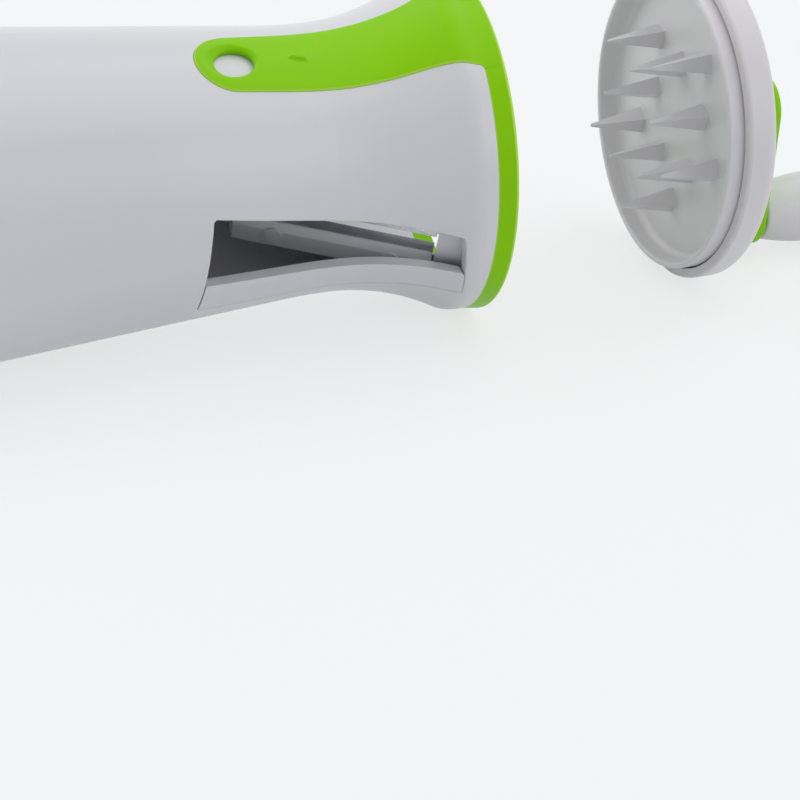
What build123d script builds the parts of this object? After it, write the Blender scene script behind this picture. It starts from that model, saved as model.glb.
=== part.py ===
from build123d import *
import math
import os
from collections import namedtuple

# A hand-held spiralizer with a crank-turned holder, lying on its side.
# The body is an hourglass tube with a feed mouth, a cone, a blade and a window at each end.
# +X runs along the axis from the body to the holder, +Z is up, and the windows of the
# front and rear mouths face -Y and +Y. The origin is the centre of the front mouth's rim.
# All sizes are in millimetres.

# ---- body -------------------------------------------------------------------------------
LENGTH = 145.0              # from the rim of the front mouth to the rim of the rear mouth
RIM_RADIUS = 38.0           # outer radius of a collar at its rim
COLLAR_TAPER = 0.6          # how much slimmer the body is than a collar's rim
WAIST_INSET = 7.8           # how much slimmer the waist is than the body's ends
WAIST_DEPTH = 36.0          # narrowest place, measured from the front rim
FLARE_SWEEP = 52.0          # radius of the side view's curve from the waist to the front mouth
TAPER_SWEEP = 110.0         # radius of the side view's curve from the waist into the rear taper
SHOULDER_FILLET = 7.0
REAR_BAND = 8.0             # depth of the rear mouth's straight part
WALL = 2.6
FLAT_DEPTH = 0.8            # how much the anti-roll flats take off the rim's underside

# ---- collars ----------------------------------------------------------------------------
COLLAR_BAND = 4.5           # depth of the green band that shows
RIM_WALL = 2.2              # around the bore that the holder's lip drops into
MOUTH_DEPTH = 4.0
SPIGOT_LENGTH = 2.0
SPIGOT_WALL = 2.3
SPIGOT_STEP = 0.4           # how much the spigot is wider than the mouth
COLLAR_FILLET = 0.6
SNUG = 0.1                  # clearance between pieces that are snapped together

# ---- tongue with its hole, on the front collar ---------------------------------------------
TONGUE_ELEVATION = 66.0     # direction that the tongue faces, in degrees above the -Y side
TONGUE_END = 62.0           # depth of the tongue's tip below the front rim
TONGUE_HALF_WIDTH = 8.2     # at the hole
TONGUE_NECK_HALF_WIDTH = 9.3
TONGUE_NECK_DEPTH = 24.0
TONGUE_SHOULDER_HALF_WIDTH = 10.6
TONGUE_SHOULDER_DEPTH = 12.5
TONGUE_ROOT_HALF_WIDTH = 13.0
TONGUE_ROOT_FILLET = 1.3
TONGUE_NECK_HEADING = (1, 0.1)   # directions of the outline at the neck and at the root
TONGUE_ROOT_HEADING = (1, 0.3)
TONGUE_PROUD = 0.4
TONGUE_THICKNESS = 2.0
GRIP_HOLE_RADIUS = 4.15
GRIP_HOLE_BEVEL = 1.1       # depth of the bevel around the hole
GRIP_HOLE_FLARE = 1.5       # how much the bevel widens the hole over that depth
ARROW_LENGTH = 4.2
ARROW_WIDTH = 3.3
ARROW_HEIGHT = 0.6
ARROW_DEPTH = 42.8          # depth of the arrow's point below the front rim

# ---- feed cones -----------------------------------------------------------------------------
CONE_LEDGE = 4.8            # between the mouth's bore and the cone
CONE_TIP_RADIUS = 6.5
CONE_TIP_DEPTH = 62.0
CONE_WALL = 2.0
CONE_RIM_THICKNESS = 2.0

# ---- windows and the sill below each ----------------------------------------------------------
WINDOW_ELEVATION = -14.2    # direction that a window faces
WINDOW_NEAR = 10.8          # depth of the window's upper corner at the mouth
WINDOW_FAR = 63.3           # depth of its far upper corner
WINDOW_NEAR_TOP = 0.8       # heights above the line that the window faces along
WINDOW_FAR_TOP = 9.0
WINDOW_TOP_SAG = 0.5
WINDOW_NEAR_LOW = -9.0
WINDOW_FAR_LOW = -7.0
SILL_NEAR = 9.0             # depth of the lower corner at the mouth
SILL_FAR = 66.7
SILL_LOW = -15.9
SILL_GAP = 0.15
SILL_TAB_LENGTH = 8.0
SILL_TAB_REACH = 2.5
SILL_TAB_THICKNESS = 1.1
SILL_TAB_INSET = 12.0       # from the sill's far corner to the middle of its far tab
WINDOW_CORNER = 0.7
WINDOW_ROUNDING = 0.5       # round-over of the window's outer edge

# ---- blades -----------------------------------------------------------------------------------
BLADE_ELEVATION = -27.2     # direction of the cutting edge, which lies midway along the cone
BLADE_LENGTH = 44.0
BLADE_WIDTH = 8.0
BLADE_THICKNESS = 0.6
BLADE_BEVEL = 2.3
SLOT_END_GAP = 0.5          # between each end of the blade and the slot's end
SLOT_BELOW_EDGE = 4.0
SLOT_ABOVE_EDGE = 5.2
CLAMP_THICKNESS = 1.4
CLAMP_BACK = 1.2            # how far the clamp reaches behind the blade
CLAMP_NOSE = 1.8            # length of its sloping front
CLAMP_EDGE = 0.3            # thickness of the slope's thin end
SEAT_LEDGE = 1.0            # blade seat beyond the clamp
SEAT_BLOCK = 4.0            # depth of the blocks under the blade and the comb
SEAT_CUT = 4.4              # height that is cleared above the two seats
STAKE_RADIUS = 1.2
STAKE_HEAD_RADIUS = 2.0
STAKE_HEAD_THICKNESS = 0.5
STAKE_REACH = 13.0          # each way from the middle of the blade
STAKE_LINE = 5.6            # behind the cutting edge
COMB_THICKNESS = 0.5
COMB_TOOTH_HEIGHT = 2.5
COMB_TOOTH_WIDTH = 0.9
COMB_FLANGE = 3.2
COMB_SEAT = 2.0             # height of the comb's seat above the blade's
COMB_PLATE = 2.0            # unbroken part of the comb's plate
COMB_STAKE_RADIUS = 0.7
COMB_STAKE_HEAD_RADIUS = 1.3
COMB_STAKE_REACH = 16.0
FRONT_TOOTH_PITCH = 4.0
REAR_TOOTH_PITCH = 2.5

# ---- holder ---------------------------------------------------------------------------------
HOLDER_GAP = 53.3           # from the front rim to the face of the guard's flange
GUARD_WALL = 2.4
GUARD_FRONT_FILLET = 0.8
GUARD_BACK_FILLET = 3.2
RIB_COUNT = 6
RIB_THICKNESS = 1.8
RIB_REACH = 27.0            # where a rib runs out, from the axis
RIB_ROOT = 0.5              # how far a rib is sunk in the plate
LIP_CLEARANCE = 0.5         # around the lip in a mouth
LIP_WALL = 1.5
LIP_FILLET = 0.7
DISH_FILLET = 2.0
LIP_PROUD = 3.5             # how far the lip stands out in front of the flange
DISH_DEPTH = 5.2            # from the lip's edge to the floor
DISH_FLOOR = 2.4
RUNNING_GAP = 0.4           # around and behind the turning dish
PRONG_COUNT = 5             # in each ring
OUTER_PRONG_RADIUS = 20.5
INNER_PRONG_RADIUS = 13.0
PRONG_LENGTH = 13.5
PRONG_BASE = 6.3
PRONG_TIP = 0.8
PRONG_TURN = 55.5           # direction of the first outer prong, above the -Y side

# ---- crank ----------------------------------------------------------------------------------
SPINDLE_RADIUS = 3.0
SPINDLE_CLEARANCE = 0.05
SPINDLE_HEAD_ACROSS = 12.0
SPINDLE_HEAD_THICKNESS = 1.5
SPINDLE_FLAT = 0.7
BUSH_WALL = 1.6
BUSH_FLANGE_RADIUS = 7.6
BUSH_FLANGE_THICKNESS = 1.0
HUB_RADIUS = 8.6
HUB_FILLET = 1.5
HUB_LENGTH = 9.0
CLIP_THICKNESS = 0.8
CLIP_RADIUS = 5.2
CLIP_GROOVE = 0.6
CLIP_BAND = 1.2
CRANK_THROW = 27.0
CRANK_THICKNESS = 6.5
CRANK_HUB_RADIUS = 8.5
CRANK_END_RADIUS = 7.5
CRANK_CLEARANCE = 0.4
THREAD_CLEARANCE = 0.05
CRANK_FILLET = 1.0
SCREW_RADIUS = 1.6
SCREW_HEAD_RADIUS = 4.2
SCREW_HEAD_HEIGHT = 2.0
SCREW_DEPTH = 9.0
SCREW_SOCKET_ACROSS = 3.0
SCREW_SOCKET_DEPTH = 1.2
KNOB_RADIUS = 8.8
KNOB_NECK_RADIUS = 6.6
KNOB_LENGTH = 28.0
KNOB_BULGE_AT = 17.0        # from the knob's inner end to its widest place
KNOB_FILLET = 1.25
PIN_RADIUS = 2.5
PIN_HEAD_RADIUS = 4.6
PIN_HEAD_HEIGHT = 2.0
PIN_SEAT = 4.5              # depth of the pin's thread in the crank arm
PIN_CLEARANCE = 0.08
WASHER_THICKNESS = 0.6
WASHER_RADIUS = 5.4
KNOB_CAP_THICKNESS = 1.6
KNOB_CAP_LEDGE = 1.0
KNOB_CAP_DOME = 0.5

# ---- sizes that follow ----------------------------------------------------------------------
FLAT_LEVEL = -(RIM_RADIUS - FLAT_DEPTH)
BODY_RADIUS = RIM_RADIUS - COLLAR_TAPER
WAIST_RADIUS = BODY_RADIUS - WAIST_INSET
MOUTH_RADIUS = RIM_RADIUS - RIM_WALL
CONE_MOUTH_RADIUS = MOUTH_RADIUS - CONE_LEDGE
LIP_RADIUS = MOUTH_RADIUS - LIP_CLEARANCE
FLARE_TURN = math.degrees(math.acos(1 - (BODY_RADIUS - WAIST_RADIUS) / FLARE_SWEEP))
FLARE_DEPTH = WAIST_DEPTH - FLARE_SWEEP * math.sin(math.radians(FLARE_TURN))
TAPER_RUN = LENGTH - REAR_BAND - WAIST_DEPTH
TAPER_RISE = WAIST_RADIUS + TAPER_SWEEP - BODY_RADIUS
TAPER_TURN = math.degrees(
    math.atan2(TAPER_RUN, TAPER_RISE) - math.acos(TAPER_SWEEP / math.hypot(TAPER_RUN, TAPER_RISE))
)
SPIGOT_RADIUS = MOUTH_RADIUS + SPIGOT_STEP
COUNTERBORE_RADIUS = SPIGOT_RADIUS + SNUG
CONE_RIM_DEPTH = COLLAR_BAND + SPIGOT_LENGTH
SEAT_DEPTH = CONE_RIM_DEPTH + CONE_RIM_THICKNESS
BLADE_MID_DEPTH = (CONE_RIM_DEPTH + CONE_TIP_DEPTH) / 2
CONE_ANGLE = math.atan2(CONE_MOUTH_RADIUS - CONE_TIP_RADIUS, CONE_TIP_DEPTH - CONE_RIM_DEPTH)
CONE_WALL_ACROSS = CONE_WALL / math.cos(CONE_ANGLE)
TONGUE_CENTRE_DEPTH = TONGUE_END - TONGUE_HALF_WIDTH
TAB_DEPTHS = (WAIST_DEPTH - SILL_TAB_LENGTH / 2, SILL_FAR - SILL_TAB_INSET)
CLAMP_TOP = BLADE_THICKNESS + CLAMP_THICKNESS
CLAMP_REAR = BLADE_WIDTH + CLAMP_BACK
STAKE_HOLE_RADIUS = STAKE_RADIUS + SNUG
COMB_STAKE_LINE = SLOT_ABOVE_EDGE + (COMB_FLANGE - COMB_THICKNESS) / 2
COMB_TOP = COMB_SEAT + COMB_THICKNESS
UPRIGHT = (Align.CENTER, Align.CENTER, Align.MIN)
LIP_EDGE = HOLDER_GAP - LIP_PROUD
DISH_FACE = LIP_EDGE + DISH_DEPTH
DISH_BACK = DISH_FACE + DISH_FLOOR
GUARD_FACE = DISH_BACK + BUSH_FLANGE_THICKNESS + SPINDLE_CLEARANCE
GUARD_BACK = GUARD_FACE + GUARD_WALL
HUB_END = GUARD_BACK + HUB_LENGTH
WASHER_FACE = HUB_END + SPINDLE_CLEARANCE
CLIP_FACE = WASHER_FACE + WASHER_THICKNESS
BUSH_RADIUS = SPINDLE_RADIUS + SPINDLE_CLEARANCE + BUSH_WALL
CRANK_FACE = CLIP_FACE + CLIP_THICKNESS + CRANK_CLEARANCE
CRANK_BACK = CRANK_FACE + CRANK_THICKNESS
KNOB_FACE = CRANK_BACK + WASHER_THICKNESS + SPINDLE_CLEARANCE
KNOB_END = KNOB_FACE + KNOB_LENGTH
SCREW_FACE = CRANK_BACK - SCREW_HEAD_HEIGHT
SPINDLE_END = SCREW_FACE - CRANK_CLEARANCE
CAP_FACE = KNOB_END - KNOB_CAP_THICKNESS
PIN_SHELF = CAP_FACE - PIN_HEAD_HEIGHT - 2 * CRANK_CLEARANCE
KNOB_WELL_RADIUS = PIN_HEAD_RADIUS + CRANK_CLEARANCE
KNOB_CAP_RADIUS = KNOB_WELL_RADIUS + KNOB_CAP_LEDGE
KNOB_AXIS_PLANE = Plane(origin=(0, 0, -CRANK_THROW), x_dir=(0, 1, 0), z_dir=(1, 0, 0))
KNOB_SIDE = Plane(origin=(0, 0, -CRANK_THROW), x_dir=(1, 0, 0), z_dir=(0, -1, 0))
KNOB_AXIS = Axis((0, 0, -CRANK_THROW), (1, 0, 0))
BORE_RADIUS = SPINDLE_RADIUS + SPINDLE_CLEARANCE
PRONG_STEP = 360 / PRONG_COUNT
EDGE_SHARES = (0.25, 0.75)  # where along an edge its place is judged
TAB_OUTER = -WALL - SNUG
TAB_INNER = TAB_OUTER - SILL_TAB_THICKNESS
CLIP_BORE = SPINDLE_RADIUS - CLIP_GROOVE + THREAD_CLEARANCE

# ---- frames of the two ends -----------------------------------------------------------------
End = namedtuple("End", "name rim_x outward tooth_pitch")
FRONT = End("front", 0.0, 1, FRONT_TOOTH_PITCH)
REAR = End("rear", -LENGTH, -1, REAR_TOOTH_PITCH)
ENDS = (FRONT, REAR)


def direction(end, elevation):
    """Unit vector away from the axis, at an elevation on the side that the end's window faces."""
    tilt = math.radians(elevation)
    return Vector(0, -end.outward * math.cos(tilt), math.sin(tilt))


def facing(end, elevation):
    """Plane through the axis at the end's rim: x outwards along the axis, y upwards."""
    return Plane(
        origin=(end.rim_x, 0, 0), x_dir=(end.outward, 0, 0), z_dir=direction(end, elevation)
    )


def axis_of(end):
    return Axis((end.rim_x, 0, 0), (end.outward, 0, 0))


def cone_radius(depth):
    """Inner radius of a feed cone at a depth below the rim."""
    return CONE_MOUTH_RADIUS - (depth - CONE_RIM_DEPTH) * math.tan(CONE_ANGLE)


def blade_plane(end):
    """Plane that touches the cone's inside along the cutting edge: x towards the mouth,
    y upwards around the cone, z out of the cone."""
    outward = Vector(end.outward, 0, 0)
    away = direction(end, BLADE_ELEVATION)
    origin = Vector(end.rim_x, 0, 0) - outward * BLADE_MID_DEPTH
    origin = origin + away * cone_radius(BLADE_MID_DEPTH)
    along = outward * math.cos(CONE_ANGLE) + away * math.sin(CONE_ANGLE)
    normal = away * math.cos(CONE_ANGLE) - outward * math.sin(CONE_ANGLE)
    return Plane(origin=origin, x_dir=along, z_dir=normal)


def blade_section(end, start):
    """Plane across the blade at a distance along it: x around the cone, y out of the cone."""
    seat = blade_plane(end)
    return Plane(origin=seat.origin + seat.x_dir * start, x_dir=seat.y_dir, z_dir=seat.x_dir)


def save(name, builder):
    builder.part.label = name
    export_step(builder.part, f"parts/{name}.step")


def side_radius(depth):
    """Outer radius of the body at a depth below the front rim."""
    run = depth - WAIST_DEPTH
    turn = math.radians(TAPER_TURN)
    arc_run = TAPER_SWEEP * math.sin(turn)
    if run < 0:
        rise = FLARE_SWEEP - math.sqrt(FLARE_SWEEP**2 - run**2)
    elif run < arc_run:
        rise = TAPER_SWEEP - math.sqrt(TAPER_SWEEP**2 - run**2)
    else:
        rise = TAPER_SWEEP * (1 - math.cos(turn)) + (run - arc_run) * math.tan(turn)
    return min(WAIST_RADIUS + rise, BODY_RADIUS)


def body_side(lift, start=COLLAR_BAND, finish=COLLAR_BAND):
    """Side view of the body as a line, raised by lift, between depths below the two rims."""
    waist = (-WAIST_DEPTH, WAIST_RADIUS + lift)
    flare = JernArc(start=waist, tangent=(1, 0), radius=FLARE_SWEEP, arc_size=FLARE_TURN)
    turn = JernArc(start=waist, tangent=(-1, 0), radius=TAPER_SWEEP, arc_size=-TAPER_TURN)
    front_band = Line(flare @ 1, (-start, BODY_RADIUS + lift))
    taper = Line(turn @ 1, (-(LENGTH - REAR_BAND), BODY_RADIUS + lift))
    rear_band = Line(taper @ 1, (-(LENGTH - finish), BODY_RADIUS + lift))
    return front_band, rear_band


def round_shoulder(sketch, lift):
    """Round the corner where the flare of the waist meets the body's straight end."""
    corner = sketch.vertices().sort_by_distance((-FLARE_DEPTH, BODY_RADIUS + lift, 0))[0]
    fillet(corner, SHOULDER_FILLET + lift)


def skin(outer_lift, inner_lift):
    """Skin that follows the body's side all round, between two lifts."""
    with BuildPart() as band:
        with BuildSketch(facing(FRONT, 0)) as section:
            with BuildLine():
                outer_front, outer_rear = body_side(outer_lift)
                inner_front, inner_rear = body_side(inner_lift)
                Line(outer_front @ 1, inner_front @ 1)
                Line(outer_rear @ 1, inner_rear @ 1)
            make_face()
            round_shoulder(section, outer_lift)
            round_shoulder(section, inner_lift)
        revolve(axis=axis_of(FRONT))
    return band.part


def filled_side(lift):
    """Half of the body's side view, filled down to the axis."""
    with BuildSketch() as half:
        with BuildLine():
            front_band, rear_band = body_side(lift)
            Polyline(front_band @ 1, (-COLLAR_BAND, 0), (COLLAR_BAND - LENGTH, 0), rear_band @ 1)
        make_face()
        round_shoulder(half, lift)
    return half.sketch


def window_outline():
    """Outline of the hole in the body, with the sill's place below it."""
    middle = ((WINDOW_NEAR + WINDOW_FAR) / 2, (WINDOW_NEAR_TOP + WINDOW_FAR_TOP) / 2)
    with BuildSketch() as outline:
        with BuildLine():
            ThreePointArc(
                (-WINDOW_NEAR, WINDOW_NEAR_TOP),
                (-middle[0], middle[1] - WINDOW_TOP_SAG),
                (-WINDOW_FAR, WINDOW_FAR_TOP),
            )
            Polyline(
                (-WINDOW_FAR, WINDOW_FAR_TOP),
                (-SILL_FAR, SILL_LOW),
                (-SILL_NEAR, SILL_LOW),
                (-WINDOW_NEAR, WINDOW_NEAR_TOP),
            )
        make_face()
        fillet(outline.vertices(), WINDOW_CORNER)
    return outline.sketch


def sill_outline():
    """The sill that closes the lower part of a window."""
    far_share = (WINDOW_FAR_LOW - SILL_LOW) / (WINDOW_FAR_TOP - SILL_LOW)
    near_share = (WINDOW_NEAR_LOW - SILL_LOW) / (WINDOW_NEAR_TOP - SILL_LOW)
    far_corner = SILL_FAR + (WINDOW_FAR - SILL_FAR) * far_share
    near_corner = SILL_NEAR + (WINDOW_NEAR - SILL_NEAR) * near_share
    with BuildSketch() as outline:
        with BuildLine():
            Polyline(
                (-near_corner - SILL_GAP, WINDOW_NEAR_LOW),
                (-far_corner + SILL_GAP, WINDOW_FAR_LOW),
                (-SILL_FAR + SILL_GAP, SILL_LOW + SILL_GAP),
                (-SILL_NEAR - SILL_GAP, SILL_LOW + SILL_GAP),
                close=True,
            )
        make_face()
        fillet(outline.vertices(), WINDOW_CORNER)
    return outline.sketch


def tab_outline(depth, reach):
    """A snap tab of the sill at a depth, reaching down past the sill's lower edge."""
    middle = SILL_LOW + SILL_GAP + (SILL_TAB_REACH - reach) / 2
    with BuildSketch() as outline:
        with Locations((-depth, middle)):
            Rectangle(SILL_TAB_LENGTH, SILL_TAB_REACH + reach)
    return outline.sketch


def tongue_outline(clearance):
    """Outline of the tongue seen square on, from its round tip to the collar."""
    half = TONGUE_HALF_WIDTH + clearance
    tip = (-TONGUE_CENTRE_DEPTH, half)
    neck = (-TONGUE_NECK_DEPTH, TONGUE_NECK_HALF_WIDTH + clearance)
    shoulder = (-TONGUE_SHOULDER_DEPTH, TONGUE_SHOULDER_HALF_WIDTH + clearance)
    root = (-(COLLAR_BAND + TONGUE_ROOT_FILLET), TONGUE_ROOT_HALF_WIDTH + clearance)
    bow = TONGUE_ROOT_FILLET * math.sin(math.radians(45))
    hollow = (root[0] + bow, root[1] + TONGUE_ROOT_FILLET - bow)
    corner = (-COLLAR_BAND, root[1] + TONGUE_ROOT_FILLET)
    with BuildSketch() as outline:
        with BuildLine():
            RadiusArc((tip[0] - half, 0), tip, half)
            Line(tip, neck)
            Spline(neck, shoulder, root, tangents=[TONGUE_NECK_HEADING, TONGUE_ROOT_HEADING])
            ThreePointArc(root, hollow, corner)
            Line(corner, (corner[0], 0))
            Line((corner[0], 0), (tip[0] - half, 0))
        make_face()
        mirror(about=Plane.XZ)
    return outline.sketch


def tongue_blank(clearance):
    """The tongue without its hole, grown by a clearance to cut its recess."""
    with BuildPart() as blank:
        add(skin(TONGUE_PROUD, TONGUE_PROUD - TONGUE_THICKNESS - clearance))
        with BuildSketch(facing(FRONT, TONGUE_ELEVATION)):
            add(tongue_outline(clearance))
        extrude(amount=2 * RIM_RADIUS, mode=Mode.INTERSECT)
    return blank.part


def arrow():
    """Raised arrow on the tongue that points down towards the hole."""
    with BuildPart() as mark:
        add(skin(TONGUE_PROUD + ARROW_HEIGHT, TONGUE_PROUD - ARROW_HEIGHT))
        with BuildSketch(facing(FRONT, TONGUE_ELEVATION)):
            with BuildLine():
                Polyline(
                    (-ARROW_DEPTH, 0),
                    (ARROW_LENGTH - ARROW_DEPTH, ARROW_WIDTH / 2),
                    (ARROW_LENGTH - ARROW_DEPTH, -ARROW_WIDTH / 2),
                    close=True,
                )
            make_face()
        extrude(amount=2 * RIM_RADIUS, mode=Mode.INTERSECT)
    return mark.part


def patch(end, outline, outer_lift, inner_lift):
    """Part of a skin of the body that lies behind an outline on the window's side."""
    with BuildPart() as piece:
        add(skin(outer_lift, inner_lift))
        with BuildSketch(facing(end, WINDOW_ELEVATION)):
            add(outline)
        extrude(amount=2 * RIM_RADIUS, mode=Mode.INTERSECT)
    return piece.part


def outer_edges(edges):
    """The edges that a cut has made on the body's outside, without its smooth seams."""
    cut = edges.filter_by(lambda edge: edge.geom_type != GeomType.CIRCLE)
    return cut.filter_by(lambda edge: min(edge_lift(edge, share) for share in EDGE_SHARES) > -SNUG)


def edge_lift(edge, share):
    """How far a point of an edge stands above the body's outside."""
    point = edge.position_at(share)
    return math.hypot(point.Y, point.Z) - side_radius(-point.X)


def nearest(sketch, x, y):
    return sketch.vertices().sort_by_distance((x, y, 0))[0]


def double_flat(clearance):
    """Section of the spindle's end: round with two flats."""
    with BuildSketch() as section:
        Circle(SPINDLE_RADIUS + clearance)
        flat_to_flat = 2 * (SPINDLE_RADIUS - SPINDLE_FLAT + clearance)
        Rectangle(flat_to_flat, 2 * SPINDLE_RADIUS + 2 * clearance, mode=Mode.INTERSECT)
    return section.sketch


def on_blade(end, reach, line, height):
    """Two places along a blade at equal distances from its middle."""
    seat = blade_plane(end)
    level = Plane(origin=seat.origin + seat.z_dir * height, x_dir=seat.x_dir, z_dir=seat.z_dir)
    return [level * Pos(sign * reach, line, 0) for sign in (-1, 1)]


def along_blade(end, length):
    """Plane across a blade at its far end, to draw a section that is extruded by length."""
    return blade_section(end, -length / 2)


os.makedirs("parts", exist_ok=True)

# ---- body shell: hourglass tube with a counterbore and a window at each end -----------------
with BuildPart() as body_shell:
    with BuildSketch(facing(FRONT, 0)):
        add(filled_side(0))
    revolve(axis=axis_of(FRONT))
    with BuildSketch(facing(FRONT, 0)):
        add(filled_side(-WALL))
    revolve(axis=axis_of(FRONT), mode=Mode.SUBTRACT)
    for end in ENDS:
        with BuildSketch(facing(end, 0)):
            with Locations((-(COLLAR_BAND + SEAT_DEPTH) / 2, COUNTERBORE_RADIUS / 2)):
                Rectangle(SEAT_DEPTH - COLLAR_BAND, COUNTERBORE_RADIUS)
        revolve(axis=axis_of(end), mode=Mode.SUBTRACT)
        with BuildSketch(facing(end, WINDOW_ELEVATION)):
            add(window_outline())
        extrude(amount=2 * RIM_RADIUS, mode=Mode.SUBTRACT)
        fillet(outer_edges(body_shell.edges(Select.LAST)), WINDOW_ROUNDING)
    add(tongue_blank(SNUG), mode=Mode.SUBTRACT)
    split(bisect_by=Plane.XY.offset(FLAT_LEVEL), keep=Keep.TOP)
save("body_shell", body_shell)

# ---- collars --------------------------------------------------------------------------------
for end in ENDS:
    with BuildPart() as collar:
        with BuildSketch(facing(end, 0)) as section:
            with BuildLine():
                Polyline(
                    (0, MOUTH_RADIUS),
                    (0, RIM_RADIUS),
                    (-COLLAR_BAND, BODY_RADIUS),
                    (-COLLAR_BAND, SPIGOT_RADIUS),
                    (-CONE_RIM_DEPTH, SPIGOT_RADIUS),
                    (-CONE_RIM_DEPTH, SPIGOT_RADIUS - SPIGOT_WALL),
                    (-MOUTH_DEPTH, SPIGOT_RADIUS - SPIGOT_WALL),
                    (-MOUTH_DEPTH, MOUTH_RADIUS),
                    close=True,
                )
            make_face()
            fillet(section.vertices().group_by(Axis.X)[-1], COLLAR_FILLET)
        revolve(axis=axis_of(end))
        spigot = collar.part
        if end is FRONT:
            add(tongue_blank(0))
            add(arrow())
            with BuildSketch(facing(end, 0)):
                with Locations((-(COLLAR_BAND + SEAT_DEPTH) / 2, COUNTERBORE_RADIUS / 2)):
                    Rectangle(SEAT_DEPTH - COLLAR_BAND, COUNTERBORE_RADIUS)
            revolve(axis=axis_of(end), mode=Mode.SUBTRACT)
            add(spigot)
            tongue_top = side_radius(TONGUE_CENTRE_DEPTH) + TONGUE_PROUD
            with Locations(facing(end, TONGUE_ELEVATION) * Pos(-TONGUE_CENTRE_DEPTH, 0, 0)):
                Cylinder(
                    GRIP_HOLE_RADIUS,
                    tongue_top,
                    align=UPRIGHT,
                    mode=Mode.SUBTRACT,
                )
                with Locations((0, 0, tongue_top - GRIP_HOLE_BEVEL)):
                    Cone(
                        GRIP_HOLE_RADIUS,
                        GRIP_HOLE_RADIUS + 2 * GRIP_HOLE_FLARE,
                        2 * GRIP_HOLE_BEVEL,
                        align=UPRIGHT,
                        mode=Mode.SUBTRACT,
                    )
        split(bisect_by=Plane.XY.offset(FLAT_LEVEL), keep=Keep.TOP)
    save(f"{end.name}_collar", collar)

# ---- feed cones, each with the seats for its blade and its comb -------------------------------
for end in ENDS:
    with BuildPart() as cone:
        with BuildSketch(facing(end, 0)):
            with BuildLine():
                Polyline(
                    (-CONE_RIM_DEPTH, 0),
                    (-CONE_RIM_DEPTH, SPIGOT_RADIUS),
                    (-SEAT_DEPTH, SPIGOT_RADIUS),
                    (-SEAT_DEPTH, cone_radius(SEAT_DEPTH) + CONE_WALL_ACROSS),
                    (-CONE_TIP_DEPTH, CONE_TIP_RADIUS + CONE_WALL_ACROSS),
                    (-CONE_TIP_DEPTH, 0),
                    close=True,
                )
            make_face()
        revolve(axis=axis_of(end))
        with BuildSketch(along_blade(end, BLADE_LENGTH + 4 * SLOT_END_GAP)):
            with Locations((-(CLAMP_REAR + SEAT_LEDGE) / 2, -SEAT_BLOCK / 2)):
                Rectangle(CLAMP_REAR + SEAT_LEDGE, SEAT_BLOCK)
            with Locations((SLOT_ABOVE_EDGE + COMB_FLANGE / 2, (COMB_SEAT - SEAT_BLOCK) / 2)):
                Rectangle(COMB_FLANGE, COMB_SEAT + SEAT_BLOCK)
        extrude(amount=BLADE_LENGTH + 4 * SLOT_END_GAP)
        with BuildSketch(facing(end, 0)):
            with BuildLine():
                Polyline(
                    (-CONE_RIM_DEPTH, 0),
                    (-CONE_RIM_DEPTH, CONE_MOUTH_RADIUS),
                    (-CONE_TIP_DEPTH, CONE_TIP_RADIUS),
                    (-CONE_TIP_DEPTH, 0),
                    close=True,
                )
            make_face()
        revolve(axis=axis_of(end), mode=Mode.SUBTRACT)
        with BuildSketch(along_blade(end, BLADE_LENGTH + 2 * SLOT_END_GAP)):
            with Locations((-(CLAMP_REAR + SEAT_LEDGE) / 2, SEAT_CUT / 2)):
                Rectangle(CLAMP_REAR + SEAT_LEDGE, SEAT_CUT)
            with Locations(((SLOT_ABOVE_EDGE - SLOT_BELOW_EDGE) / 2, 0)):
                Rectangle(SLOT_ABOVE_EDGE + SLOT_BELOW_EDGE, 4 * SEAT_BLOCK)
            with Locations((SLOT_ABOVE_EDGE + COMB_FLANGE / 2, COMB_SEAT + SEAT_CUT / 2)):
                Rectangle(COMB_FLANGE, SEAT_CUT)
        extrude(amount=BLADE_LENGTH + 2 * SLOT_END_GAP, mode=Mode.SUBTRACT)
        with Locations(on_blade(end, STAKE_REACH, -STAKE_LINE, 0)):
            Cylinder(STAKE_RADIUS, CLAMP_TOP, align=UPRIGHT)
        with Locations(on_blade(end, STAKE_REACH, -STAKE_LINE, CLAMP_TOP)):
            Cylinder(STAKE_HEAD_RADIUS, STAKE_HEAD_THICKNESS, align=UPRIGHT)
        with Locations(on_blade(end, COMB_STAKE_REACH, COMB_STAKE_LINE, COMB_SEAT)):
            Cylinder(COMB_STAKE_RADIUS, COMB_THICKNESS, align=UPRIGHT)
        with Locations(on_blade(end, COMB_STAKE_REACH, COMB_STAKE_LINE, COMB_TOP)):
            Cylinder(COMB_STAKE_HEAD_RADIUS, STAKE_HEAD_THICKNESS, align=UPRIGHT)
    save(f"{end.name}_cone", cone)

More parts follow.
